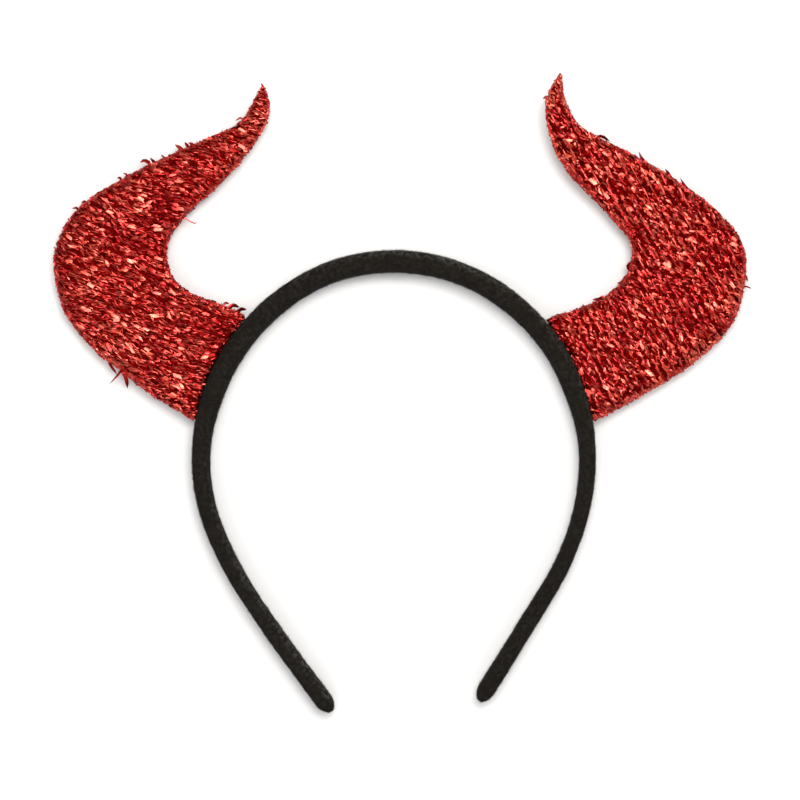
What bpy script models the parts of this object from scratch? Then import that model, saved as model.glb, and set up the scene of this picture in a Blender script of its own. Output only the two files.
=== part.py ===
# Devil horns headband, lying flat as it does when it is put down.
# A stiff band covered in black velvet bends round the head, and a flat padded horn of red
# tinsel cloth is held by its base to each side of the crown.
# Metres, +Z up, +X to the viewer's right, +Y towards the tips of the horns.

import math
from collections import namedtuple

import bmesh
import bpy
from mathutils import Vector

# The band's outer face in arcs, each way from the top of the crown: its length and how far it
# turns. The crown is a half circle, a little flattened behind the left horn, and each leg then
# turns inwards, more near the side and hardly at all at the tip.
CROWN_RADIUS = 0.0675
Run = namedtuple("Run", "length turn_degrees")
LEFT_CROWN = [Run(0.0330, 30.0), Run(0.0382, 30.0), Run(0.0367, 30.0)]
RIGHT_CROWN = [Run(0.0350, 30.0), Run(0.0360, 30.0), Run(0.0373, 30.0)]
LEFT_LEG = [Run(0.0270, 22.6), Run(0.0240, 10.3), Run(0.0240, 3.4), Run(0.0242, 0.1)]
RIGHT_LEG = [Run(0.0270, 18.8), Run(0.0230, 12.6), Run(0.0220, 0.1), Run(0.0206, 1.0)]

# How thick the band is across, at distances along the outer face from the top of the crown.
# The pile and padding are fullest over the crown.
Girth = namedtuple("Girth", "distance left_thickness right_thickness")
GIRTHS = [
    Girth(0.000, 0.0074, 0.0074),
    Girth(0.040, 0.0070, 0.0070),
    Girth(0.080, 0.0065, 0.0062),
    Girth(0.108, 0.0053, 0.0047),
    Girth(0.140, 0.0051, 0.0045),
    Girth(0.175, 0.0051, 0.0050),
    Girth(0.230, 0.0054, 0.0053),
]
CROWN_HEIGHT = 0.0112           # the band's width, which stands up as it lies
TIP_HEIGHT = 0.0086
TIP_ROUNDING = 0.0042           # the last stretch of each leg, rounded like a finger's end
TIP_END_SHARE = 0.34            # of the full thickness, left at the very end
SECTIONS_PER_RUN = 6
TIP_SECTIONS = 5

# One section through the band: a soft rounded bar, pressed flat along the side it lies on.
# across runs from the outer face at -1 to the inner face at +1, up from the table at 0 to 1.
BandPoint = namedtuple("BandPoint", "across up")
BAND_SECTION = [
    BandPoint(-0.50, 0.00), BandPoint(0.50, 0.00), BandPoint(0.84, 0.07),
    BandPoint(1.00, 0.26), BandPoint(1.00, 0.72), BandPoint(0.86, 0.90),
    BandPoint(0.48, 0.99), BandPoint(0.00, 1.01), BandPoint(-0.48, 0.99),
    BandPoint(-0.86, 0.90), BandPoint(-1.00, 0.72), BandPoint(-1.00, 0.26),
    BandPoint(-0.84, 0.07),
]

# Each horn is a flat pad cut to a curl. A row is one cut across it, from its convex outer edge
# to its hollow inner edge, measured from the centre of the crown's half circle. lift is the
# height of the pad's middle over the table.
Cut = namedtuple("Cut", "outer_x outer_y inner_x inner_y lift thickness")
LEFT_CUTS = [
    Cut(-0.0790, 0.0168, -0.0580, 0.0490, 0.0054, 0.0048),
    Cut(-0.0912, 0.0247, -0.0680, 0.0530, 0.0051, 0.0048),
    Cut(-0.1026, 0.0354, -0.0736, 0.0576, 0.0048, 0.0048),
    Cut(-0.1113, 0.0474, -0.0760, 0.0632, 0.0046, 0.0048),
    Cut(-0.1146, 0.0615, -0.0764, 0.0690, 0.0045, 0.0048),
    Cut(-0.1126, 0.0728, -0.0740, 0.0745, 0.0045, 0.0047),
    Cut(-0.1058, 0.0822, -0.0682, 0.0812, 0.0046, 0.0046),
    Cut(-0.0934, 0.0905, -0.0612, 0.0872, 0.0048, 0.0045),
    Cut(-0.0788, 0.0984, -0.0545, 0.0942, 0.0050, 0.0044),
    Cut(-0.0622, 0.1056, -0.0480, 0.1018, 0.0052, 0.0042),
    Cut(-0.0526, 0.1102, -0.0436, 0.1088, 0.0054, 0.0039),
    Cut(-0.0489, 0.1146, -0.0416, 0.1146, 0.0056, 0.0035),
    Cut(-0.0462, 0.1195, -0.0420, 0.1192, 0.0058, 0.0031),
]
LEFT_TIP = Cut(-0.0442, 0.1229, -0.0432, 0.1229, 0.0060, 0.0018)
RIGHT_CUTS = [
    Cut(0.0812, 0.0166, 0.0644, 0.0484, 0.0054, 0.0048),
    Cut(0.0947, 0.0246, 0.0722, 0.0524, 0.0053, 0.0048),
    Cut(0.1068, 0.0336, 0.0778, 0.0573, 0.0053, 0.0048),
    Cut(0.1152, 0.0440, 0.0802, 0.0625, 0.0054, 0.0048),
    Cut(0.1193, 0.0590, 0.0808, 0.0672, 0.0055, 0.0048),
    Cut(0.1172, 0.0712, 0.0794, 0.0718, 0.0057, 0.0047),
    Cut(0.1082, 0.0816, 0.0740, 0.0778, 0.0061, 0.0046),
    Cut(0.0970, 0.0900, 0.0680, 0.0842, 0.0067, 0.0045),
    Cut(0.0846, 0.0977, 0.0606, 0.0918, 0.0075, 0.0044),
    Cut(0.0707, 0.1048, 0.0553, 0.0994, 0.0085, 0.0042),
    Cut(0.0624, 0.1095, 0.0522, 0.1074, 0.0095, 0.0040),
    Cut(0.0593, 0.1146, 0.0511, 0.1142, 0.0105, 0.0037),
    Cut(0.0572, 0.1200, 0.0518, 0.1196, 0.0114, 0.0033),
]
RIGHT_TIP = Cut(0.0566, 0.1262, 0.0556, 0.1262, 0.0124, 0.0018)

# The base of each horn follows the band's outer face between two distances from the top of
# the crown, and stands off it by the seat gap.
Base = namedtuple("Base", "outer_distance inner_distance lift thickness")
LEFT_BASE = Base(0.0958, 0.0556, 0.0056, 0.0046)
RIGHT_BASE = Base(0.0966, 0.0581, 0.0056, 0.0046)
SEAT_GAP = 0.0004
STEPS_BETWEEN_CUTS = 3

# One cut through a horn: share of the way across, and half thickness there. The edge is
# rounded over about 2 mm, and less where the horn is narrow.
EDGE_ROUNDING = 0.0020
EDGE_SHARE_LIMIT = 0.30         # of the width, so that the two edges of a narrow cut never meet
EDGE_MIDDLE = 0.30              # place and fullness of the point half round the edge
EDGE_MIDDLE_FULLNESS = 0.70
CORE_STEPS = 5                  # flat stretches between the two rounded edges

VELVET = ("black_velvet", (0.016, 0.013, 0.012, 1.0), 0.95, 0.0)
TINSEL = ("red_tinsel", (0.42, 0.012, 0.014, 1.0), 0.34, 0.6)


def new_material(name, colour, roughness, metallic):
    material = bpy.data.materials.new(name)
    material.use_nodes = True
    shader = material.node_tree.nodes["Principled BSDF"]
    shader.inputs["Base Color"].default_value = colour
    shader.inputs["Roughness"].default_value = roughness
    shader.inputs["Metallic"].default_value = metallic
    return material


def between(low, high, share):
    return low + (high - low) * share


def eased(share):
    return share * share * (3.0 - 2.0 * share)


# The band's outer face at a distance from the top of the crown, on the +X side: its point and
# its heading, in radians turned clockwise from +X.
def outer_face(runs, distance):
    x, y, heading = 0.0, CROWN_RADIUS, 0.0
    for run in runs:
        step = min(distance, run.length)
        turn = math.radians(run.turn_degrees) * step / run.length
        radius = run.length / math.radians(run.turn_degrees)
        x += radius * (math.sin(heading + turn) - math.sin(heading))
        y -= radius * (math.cos(heading) - math.cos(heading + turn))
        heading += turn
        distance -= step
        if distance <= 0.0:
            break
    return x, y, heading


def thickness_at(distance, column):
    for near, far in zip(GIRTHS, GIRTHS[1:]):
        if distance <= far.distance:
            share = (distance - near.distance) / (far.distance - near.distance)
            return between(getattr(near, column), getattr(far, column), eased(share))
    return getattr(GIRTHS[-1], column)


# Where the band is cut into sections along one side, from the top of the crown to the tip.
def section_distances(runs, length):
    distances = []
    start = 0.0
    for run in runs:
        for step in range(SECTIONS_PER_RUN):
            distance = start + run.length * step / SECTIONS_PER_RUN
            if distance < length - TIP_ROUNDING * 1.2:
                distances.append(distance)
        start += run.length
    for step in range(TIP_SECTIONS + 1):
        angle = math.pi / 2 * step / TIP_SECTIONS
        distances.append(length - TIP_ROUNDING + TIP_ROUNDING * math.sin(angle))
    return distances


def side_rings(runs, side, column):
    length = sum(run.length for run in runs)
    rings = []
    for distance in section_distances(runs, length):
        x, y, heading = outer_face(runs, distance)
        thickness = thickness_at(distance, column)
        height = between(CROWN_HEIGHT, TIP_HEIGHT, eased(distance / length))
        into_tip = max(0.0, (distance - (length - TIP_ROUNDING)) / TIP_ROUNDING)
        fullness = max(TIP_END_SHARE, math.sqrt(max(0.0, 1.0 - into_tip * into_tip)))
        ring = []
        for point in BAND_SECTION:
            inwards = thickness / 2 * (1.0 + point.across * fullness)
            up = 0.5 + (point.up - 0.5) * between(0.6, 1.0, fullness)
            if fullness == 1.0:
                up = point.up
            ring.append(Vector((side * (x - inwards * math.sin(heading)),
                                y - inwards * math.cos(heading), up * height)))
        rings.append(ring)
    return rings


# Joins rings of equal length into one closed skin.
def skin(mesh, rings, cap):
    loops = [[mesh.verts.new(point) for point in ring] for ring in rings]
    for near, far in zip(loops, loops[1:]):
        for index in range(len(near)):
            follow = (index + 1) % len(near)
            mesh.faces.new((near[index], near[follow], far[follow], far[index]))
    for loop in (loops[0], loops[-1]):
        cap(mesh, loop)
    bmesh.ops.recalc_face_normals(mesh, faces=mesh.faces)


def fan_cap(mesh, loop):
    middle = mesh.verts.new(sum((vert.co for vert in loop), Vector()) / len(loop))
    for index in range(len(loop)):
        mesh.faces.new((loop[index], loop[(index + 1) % len(loop)], middle))


# Closes the end of a horn with one row of faces from its top to its underside.
def strip_cap(mesh, loop):
    last = len(loop) - 1
    half = len(loop) // 2
    mesh.faces.new((loop[0], loop[1], loop[last]))
    for index in range(1, half - 1):
        mesh.faces.new((loop[index], loop[index + 1], loop[last - index], loop[last - index + 1]))
    mesh.faces.new((loop[half - 1], loop[half], loop[half + 1]))


def new_object(name, mesh, material):
    data = bpy.data.meshes.new(name)
    mesh.to_mesh(data)
    mesh.free()
    data.materials.append(material)
    data.shade_smooth()
    data.set_sharp_from_angle(angle=math.radians(50))
    piece = bpy.data.objects.new(name, data)
    bpy.context.scene.collection.objects.link(piece)
    return piece


def make_headband(material):
    left = side_rings(LEFT_CROWN + LEFT_LEG, -1.0, "left_thickness")
    right = side_rings(RIGHT_CROWN + RIGHT_LEG, 1.0, "right_thickness")
    mesh = bmesh.new()
    skin(mesh, left[::-1] + right[1:], fan_cap)
    return new_object("headband", mesh, material)


# A smooth curve through the rows of a table, column by column, read at even steps between
# each row and the next.
def smooth_rows(rows):
    path = []
    for index in range(len(rows) - 1):
        before = rows[max(index - 1, 0)]
        start, end = rows[index], rows[index + 1]
        after = rows[min(index + 2, len(rows) - 1)]
        for step in range(STEPS_BETWEEN_CUTS):
            share = step / STEPS_BETWEEN_CUTS
            square, cube = share * share, share * share * share
            path.append(Cut(*(0.5 * (2 * b + (c - a) * share + (2 * a - 5 * b + 4 * c - d) * square
                                     + (3 * b - a - 3 * c + d) * cube)
                              for a, b, c, d in zip(before, start, end, after))))
    path.append(rows[-1])
    return path


# Shares across a cut from the outer edge to the inner one, each with its half thickness as a
# share of the full one.
def edge_profile(width):
    edge = min(EDGE_ROUNDING / width, EDGE_SHARE_LIMIT)
    profile = [(EDGE_MIDDLE * edge, EDGE_MIDDLE_FULLNESS)]
    for step in range(CORE_STEPS + 1):
        profile.append((between(edge, 1.0 - edge, step / CORE_STEPS), 1.0))
    profile.append((1.0 - EDGE_MIDDLE * edge, EDGE_MIDDLE_FULLNESS))
    return profile


# The ring of one cut, given a function from the share across to the plan point there.
def cut_ring(plan_point, width, lift, thickness):
    profile = edge_profile(width)
    ring = []
    for share, fullness in [(0.0, 0.0)] + profile + [(1.0, 0.0)]:
        x, y = plan_point(share)
        ring.append(Vector((x, y, lift + thickness / 2 * fullness)))
    for share, fullness in reversed(profile):
        x, y = plan_point(share)
        ring.append(Vector((x, y, lift - thickness / 2 * fullness)))
    return ring


def seat_point(runs, side, distance):
    x, y, heading = outer_face(runs, distance)
    return side * (x + SEAT_GAP * math.sin(heading)), y + SEAT_GAP * math.cos(heading)


def base_ring(base, runs, side):
    def plan_point(share):
        return seat_point(runs, side, between(base.outer_distance, base.inner_distance, share))

    return cut_ring(plan_point, base.outer_distance - base.inner_distance, base.lift,
                    base.thickness)


def base_cut(base, runs, side):
    return Cut(*seat_point(runs, side, base.outer_distance),
               *seat_point(runs, side, base.inner_distance), base.lift, base.thickness)


# A cut near the base still bows with the band, less the further it stands from it.
def bowed_cut_ring(cut, closeness):
    outer = Vector((cut.outer_x, cut.outer_y))
    inner = Vector((cut.inner_x, cut.inner_y))
    width = (inner - outer).length
    middle = (outer + inner) / 2
    bow = middle.normalized() * closeness * (CROWN_RADIUS - math.sqrt(
        CROWN_RADIUS ** 2 - min(width / 2, CROWN_RADIUS) ** 2))

    def plan_point(share):
        offset = 1.0 - (2.0 * share - 1.0) ** 2
        point = outer.lerp(inner, share) + bow * offset
        return point.x, point.y

    return cut_ring(plan_point, width, cut.lift, cut.thickness)


def make_horn(name, side, runs, base, cuts, tip, material):
    rows = smooth_rows([base_cut(base, runs, side)] + cuts + [tip])
    fading = 2 * STEPS_BETWEEN_CUTS
    rings = [base_ring(base, runs, side)]
    for index, row in enumerate(rows[1:], start=1):
        rings.append(bowed_cut_ring(row, max(0.0, 1.0 - index / fading)))
    mesh = bmesh.new()
    skin(mesh, rings, strip_cap)
    return new_object(name, mesh, material)


# Moves every piece so that the middle of the whole plan lies over the origin.
def centre_plan(pieces):
    points = [vert.co for piece in pieces for vert in piece.data.vertices]
    middle_x = (min(p.x for p in points) + max(p.x for p in points)) / 2
    middle_y = (min(p.y for p in points) + max(p.y for p in points)) / 2
    for piece in pieces:
        for vert in piece.data.vertices:
            vert.co.x -= middle_x
            vert.co.y -= middle_y


def main():
    for old in list(bpy.data.objects):
        bpy.data.objects.remove(old, do_unlink=True)
    velvet = new_material(*VELVET)
    tinsel = new_material(*TINSEL)
    pieces = [
        make_headband(velvet),
        make_horn("left_horn", -1.0, LEFT_CROWN, LEFT_BASE, LEFT_CUTS, LEFT_TIP, tinsel),
        make_horn("right_horn", 1.0, RIGHT_CROWN, RIGHT_BASE, RIGHT_CUTS, RIGHT_TIP, tinsel),
    ]
    centre_plan(pieces)


main()
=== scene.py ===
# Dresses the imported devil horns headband: a stiff band in black velvet, with a padded horn of
# knitted red tinsel on each side. Metres, +Z up, lying flat, seen from straight above.

import math

import bmesh
import bpy
import numpy as np
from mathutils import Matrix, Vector, noise
from mathutils.bvhtree import BVHTree


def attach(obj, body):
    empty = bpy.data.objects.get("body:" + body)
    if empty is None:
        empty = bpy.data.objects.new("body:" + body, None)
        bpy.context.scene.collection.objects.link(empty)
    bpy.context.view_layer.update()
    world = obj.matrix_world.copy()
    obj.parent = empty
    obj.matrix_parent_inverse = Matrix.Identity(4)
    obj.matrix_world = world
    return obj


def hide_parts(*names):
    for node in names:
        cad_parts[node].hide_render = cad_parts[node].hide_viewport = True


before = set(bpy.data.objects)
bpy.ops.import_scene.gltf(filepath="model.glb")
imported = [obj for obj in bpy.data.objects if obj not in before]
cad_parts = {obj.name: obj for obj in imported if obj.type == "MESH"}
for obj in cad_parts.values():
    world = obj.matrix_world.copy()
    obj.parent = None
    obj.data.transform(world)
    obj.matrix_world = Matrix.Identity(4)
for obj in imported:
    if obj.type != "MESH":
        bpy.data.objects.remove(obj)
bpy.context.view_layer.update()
print("frame loaded:", sorted(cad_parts))

millimetre = 0.001

cameraView = {
    "x": 0.0,
    "y": -0.0020,
    "height": 0.85,
    "frameWidth": 0.272,    # what the picture spans on the table
    "framePixels": 800,
    "sensorWidth": 36.0,
}
pixelSize = cameraView["frameWidth"] / cameraView["framePixels"]

lights = {
    # place, size and watts of each lamp; all point at the middle of the headband
    "keySoftbox": {"at": (0.11, 0.31, 0.95), "size": (0.60, 0.54), "watts": 6.9},
    "keyBulbOne": {"at": (0.02, 0.27, 0.93), "size": (0.05, 0.05), "watts": 0.42,
                   "colour": (1.0, 0.90, 0.72)},
    "keyBulbTwo": {"at": (0.20, 0.33, 0.92), "size": (0.05, 0.05), "watts": 0.42,
                   "colour": (1.0, 0.90, 0.72)},
    "overheadPanel": {"at": (-0.30, -0.15, 1.30), "size": (0.90, 0.90), "watts": 2.5},
    "frontPanel": {"at": (0.05, -0.80, 0.62), "size": (1.30, 0.26), "watts": 1.4},
    "leftStrip": {"at": (-0.95, 0.15, 0.70), "size": (0.16, 0.60), "watts": 1.7},
    "rightStrip": {"at": (0.95, 0.25, 0.80), "size": (0.16, 0.60), "watts": 1.7},
}
lampTarget = Vector((0.0, 0.02, 0.0))
worldLook = {
    "horizon": 0.80,        # pale walls all round the table
    "zenith": 0.27,         # and a dim ceiling
    "front": 1.40,          # the front wall is the brightest, and the back wall the dimmest
    "back": 0.70,
    "wallTop": 0.55,        # how high the walls reach, as the height of a direction
    "backdrop": 0.96,       # how pale it looks behind the table
}
floorLook = {
    "size": 6.0,
    "height": -0.0001,
    "colour": (0.93, 0.925, 0.92, 1.0),
    "roughness": 0.9,
    "specular": 0.1,
}


def photoPoint(px, py, height):
    # a point of the picture, at a height over the table
    shrink = 1.0 - height / cameraView["height"]
    scale = pixelSize * shrink
    middle = cameraView["framePixels"] / 2
    return Vector((cameraView["x"] + (px - middle) * scale,
                   cameraView["y"] + (middle - py) * scale, height))


def deselectAll():
    bpy.ops.object.select_all(action="DESELECT")


def makeActive(piece):
    deselectAll()
    piece.select_set(True)
    bpy.context.view_layer.objects.active = piece


def applyModifier(piece, modifier):
    makeActive(piece)
    bpy.ops.object.modifier_apply(modifier=modifier.name)


# Nodes shared by the materials

def addNode(tree, kind, place, **settings):
    node = tree.nodes.new(kind)
    node.location = place
    for name, value in settings.items():
        setattr(node, name, value)
    return node


def newGroup(name, inputs, outputs):
    group = bpy.data.node_groups.new(name, "ShaderNodeTree")
    for label, value in inputs.items():
        socket = group.interface.new_socket(name=label, in_out="INPUT", socket_type="NodeSocketFloat")
        socket.default_value = value
    for label, kind in outputs.items():
        group.interface.new_socket(name=label, in_out="OUTPUT", socket_type=kind)
    entry = addNode(group, "NodeGroupInput", (-900, 0))
    exitNode = addNode(group, "NodeGroupOutput", (700, 0))
    return group, entry, exitNode


def makeCrumpleGroup():
    # creased foil: flat facets and fine wrinkles, as a 0 to 1 tone and a height
    group, entry, exitNode = newGroup("foilCrumple", {"Facet Scale": 900.0, "Wrinkle Scale": 2600.0},
                                      {"Tone": "NodeSocketFloat", "Height": "NodeSocketFloat"})
    place = addNode(group, "ShaderNodeTexCoord", (-900, 250))
    facets = addNode(group, "ShaderNodeTexVoronoi", (-600, 200), feature="F1")
    wrinkles = addNode(group, "ShaderNodeTexNoise", (-600, -150))
    wrinkles.inputs["Detail"].default_value = 3.0
    group.links.new(place.outputs["Object"], facets.inputs["Vector"])
    group.links.new(place.outputs["Object"], wrinkles.inputs["Vector"])
    group.links.new(entry.outputs["Facet Scale"], facets.inputs["Scale"])
    group.links.new(entry.outputs["Wrinkle Scale"], wrinkles.inputs["Scale"])
    greyFacets = addNode(group, "ShaderNodeRGBToBW", (-350, 250))
    group.links.new(facets.outputs["Color"], greyFacets.inputs["Color"])
    group.links.new(greyFacets.outputs["Val"], exitNode.inputs["Tone"])
    blend = addNode(group, "ShaderNodeMath", (-100, 0), operation="MULTIPLY_ADD")
    blend.inputs[1].default_value = 0.6
    group.links.new(wrinkles.outputs["Fac"], blend.inputs[0])
    group.links.new(facets.outputs["Distance"], blend.inputs[2])
    group.links.new(blend.outputs["Value"], exitNode.inputs["Height"])
    return group


napAndSheenLook = {
    "paintedSheenFacing": (0.35, 0.90, 0.25),    # the side of the pile painted paler, as if it caught the key light: a painted sheen
    "paintedSheenRange": (0.40, 0.90),     # from where the painted sheen starts to where it is full
    "leastPaintedSheen": 0.15,
    "tuftRange": (0.40, 0.66),
    "fullTone": 0.55,
}


def makeNapAndSheenGroup():
    # velvet nap: broad strokes where the pile lies over, tufts, and the grain of single fibres, with a
    # painted sheen that makes the tone paler on the side facing the key light
    group, entry, exitNode = newGroup("velvetNapAndPaintedSheen", {"Stroke Scale": 70.0, "Tuft Scale": 800.0,
                                                    "Grain Scale": 2400.0},
                                      {"Tone": "NodeSocketFloat", "Height": "NodeSocketFloat"})
    place = addNode(group, "ShaderNodeTexCoord", (-900, 250))
    noises = {}
    for row, (label, detail) in enumerate((("Stroke", 3.0), ("Tuft", 2.0), ("Grain", 2.0))):
        noises[label] = addNode(group, "ShaderNodeTexNoise", (-600, 300 - 250 * row))
        noises[label].inputs["Detail"].default_value = detail
        group.links.new(place.outputs["Object"], noises[label].inputs["Vector"])
        group.links.new(entry.outputs[label + " Scale"], noises[label].inputs["Scale"])
    tufts = addNode(group, "ShaderNodeMapRange", (-350, 50))
    tufts.inputs["From Min"].default_value, tufts.inputs["From Max"].default_value = napAndSheenLook["tuftRange"]
    group.links.new(noises["Tuft"].outputs["Fac"], tufts.inputs["Value"])
    surface = addNode(group, "ShaderNodeNewGeometry", (-900, -500))
    # painted sheen: the tone is raised where the surface faces the key light
    facing = addNode(group, "ShaderNodeVectorMath", (-600, -500), operation="DOT_PRODUCT")
    facing.inputs[1].default_value = napAndSheenLook["paintedSheenFacing"]
    group.links.new(surface.outputs["Normal"], facing.inputs[0])
    paintedSheenFacing = addNode(group, "ShaderNodeMapRange", (-350, -400))
    paintedSheenFacing.inputs["From Min"].default_value, paintedSheenFacing.inputs["From Max"].default_value = napAndSheenLook["paintedSheenRange"]
    paintedSheenFacing.inputs["To Min"].default_value = napAndSheenLook["leastPaintedSheen"]
    group.links.new(facing.outputs["Value"], paintedSheenFacing.inputs["Value"])
    paintedSheen = addNode(group, "ShaderNodeMath", (-100, 0), operation="MULTIPLY")
    group.links.new(tufts.outputs["Result"], paintedSheen.inputs[0])
    group.links.new(paintedSheenFacing.outputs["Result"], paintedSheen.inputs[1])
    stroke = addNode(group, "ShaderNodeMath", (150, 100), operation="MULTIPLY")
    group.links.new(paintedSheen.outputs["Value"], stroke.inputs[0])
    group.links.new(noises["Stroke"].outputs["Fac"], stroke.inputs[1])
    spread = addNode(group, "ShaderNodeMapRange", (400, 150))
    spread.inputs["From Max"].default_value = napAndSheenLook["fullTone"]
    group.links.new(stroke.outputs["Value"], spread.inputs["Value"])
    group.links.new(spread.outputs["Result"], exitNode.inputs["Tone"])
    group.links.new(noises["Grain"].outputs["Fac"], exitNode.inputs["Height"])
    return group


def makeShader(name, metallic):
    material = bpy.data.materials.new(name)
    material.use_nodes = True
    tree = material.node_tree
    shader = tree.nodes["Principled BSDF"]
    shader.inputs["Metallic"].default_value = metallic
    return material, tree, shader


def colourRamp(tree, place, stops):
    ramp = addNode(tree, "ShaderNodeValToRGB", place)
    ramp.color_ramp.elements[0].position, ramp.color_ramp.elements[0].color = stops[0]
    ramp.color_ramp.elements[1].position, ramp.color_ramp.elements[1].color = stops[-1]
    for position, colour in stops[1:-1]:
        ramp.color_ramp.elements.new(position).color = colour
    return ramp


def linkBump(tree, shader, height, strength, distance):
    bump = addNode(tree, "ShaderNodeBump", (-250, -300))
    bump.inputs["Strength"].default_value = strength
    bump.inputs["Distance"].default_value = distance
    tree.links.new(height, bump.inputs["Height"])
    tree.links.new(bump.outputs["Normal"], shader.inputs["Normal"])


foilLook = {
    "dark": (0.21, 0.0014, 0.0010, 1.0),
    "red": (0.50, 0.010, 0.009, 1.0),
    "bright": (0.62, 0.072, 0.038, 1.0),
    "roughness": (0.22, 0.42),
    "film": (0.10, 0.70),       # the clear film over the colour gives pale glints
    "filmRoughness": 0.12,
    "creaseTone": 0.20,         # how much the creases change a strip's own tone
    "bump": (0.15, 0.00008),    # strength and distance
}
groundLook = {
    # painted shade: the ground is darkened to stand for the shade in the gaps between the strips
    "shadow": (0.034, 0.0004, 0.0003, 1.0),
    "yarn": (0.16, 0.0012, 0.0009, 1.0),
    "roughness": 0.5,
    "facetScale": 1200.0,
    "bump": (0.8, 0.0003),
}
velvetLook = {
    "deep": (0.0110, 0.0089, 0.0070, 1.0),
    # the pale colour of the painted sheen, where the pile is taken to catch the light
    "paintedSheen": (0.0660, 0.0640, 0.0570, 1.0),
    "roughness": 0.95,
    "specular": 0.05,
    "sheen": 0.02,
    "sheenRoughness": 0.35,
    "sheenTint": (0.62, 0.60, 0.56, 1.0),
    "bump": (0.6, 0.0003),
    "fibreRoughness": 0.8,
    "fibreSpecular": 0.06,
}


def makeFoil(crumple):
    # each strip carries its own tone, and the crumple varies it along the strip
    material, tree, shader = makeShader("redTinselFoil", 1.0)
    tone = addNode(tree, "ShaderNodeAttribute", (-900, 200), attribute_name="tone")
    creases = addNode(tree, "ShaderNodeGroup", (-900, -100), node_tree=crumple)
    mixed = addNode(tree, "ShaderNodeMath", (-650, 150), operation="MULTIPLY_ADD")
    mixed.inputs[1].default_value = foilLook["creaseTone"]
    tree.links.new(creases.outputs["Tone"], mixed.inputs[0])
    tree.links.new(tone.outputs["Fac"], mixed.inputs[2])
    ramp = colourRamp(tree, (-420, 200), [(0.10, foilLook["dark"]), (0.55, foilLook["red"]),
                                          (1.00, foilLook["bright"])])
    tree.links.new(mixed.outputs["Value"], ramp.inputs["Fac"])
    tree.links.new(ramp.outputs["Color"], shader.inputs["Base Color"])
    for label, source, key, row in (("Roughness", creases.outputs["Tone"], "roughness", -80),
                                    ("Coat Weight", mixed.outputs["Value"], "film", -350)):
        span = addNode(tree, "ShaderNodeMapRange", (-420, row))
        span.inputs["To Min"].default_value, span.inputs["To Max"].default_value = foilLook[key]
        tree.links.new(source, span.inputs["Value"])
        tree.links.new(span.outputs["Result"], shader.inputs[label])
    shader.inputs["Coat Roughness"].default_value = foilLook["filmRoughness"]
    linkBump(tree, shader, creases.outputs["Height"], *foilLook["bump"])
    return material


def makeGround(crumple):
    # the knitted ground under the strips, painted dark to stand for the deep shade between them
    material, tree, shader = makeShader("redTinselGround", 1.0)
    creases = addNode(tree, "ShaderNodeGroup", (-900, 0), node_tree=crumple)
    creases.inputs["Facet Scale"].default_value = groundLook["facetScale"]
    ramp = colourRamp(tree, (-420, 200), [(0.1, groundLook["shadow"]), (0.9, groundLook["yarn"])])
    tree.links.new(creases.outputs["Tone"], ramp.inputs["Fac"])
    tree.links.new(ramp.outputs["Color"], shader.inputs["Base Color"])
    shader.inputs["Roughness"].default_value = groundLook["roughness"]
    linkBump(tree, shader, creases.outputs["Height"], *groundLook["bump"])
    return material


def makeVelvet(napAndSheen):
    material, tree, shader = makeShader("blackVelvet", 0.0)
    napAndSheenNode = addNode(tree, "ShaderNodeGroup", (-800, 0), node_tree=napAndSheen)
    # from the velvet's own dark to its painted sheen
    ramp = colourRamp(tree, (-420, 200), [(0.0, velvetLook["deep"]), (1.0, velvetLook["paintedSheen"])])
    tree.links.new(napAndSheenNode.outputs["Tone"], ramp.inputs["Fac"])
    tree.links.new(ramp.outputs["Color"], shader.inputs["Base Color"])
    shader.inputs["Roughness"].default_value = velvetLook["roughness"]
    shader.inputs["Specular IOR Level"].default_value = velvetLook["specular"]
    shader.inputs["Sheen Weight"].default_value = velvetLook["sheen"]
    shader.inputs["Sheen Roughness"].default_value = velvetLook["sheenRoughness"]
    shader.inputs["Sheen Tint"].default_value = velvetLook["sheenTint"]
    linkBump(tree, shader, napAndSheenNode.outputs["Height"], *velvetLook["bump"])
    return material


def makePileFibre():
    material, tree, shader = makeShader("velvetFibre", 0.0)
    tone = addNode(tree, "ShaderNodeAttribute", (-700, 200), attribute_name="tone")
    # from the pile's own dark to its painted sheen, as the tone says
    ramp = colourRamp(tree, (-420, 200), [(0.0, velvetLook["deep"]), (1.0, velvetLook["paintedSheen"])])
    tree.links.new(tone.outputs["Fac"], ramp.inputs["Fac"])
    tree.links.new(ramp.outputs["Color"], shader.inputs["Base Color"])
    shader.inputs["Roughness"].default_value = velvetLook["fibreRoughness"]
    shader.inputs["Specular IOR Level"].default_value = velvetLook["fibreSpecular"]
    return material


# Many small strips in one mesh

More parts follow.
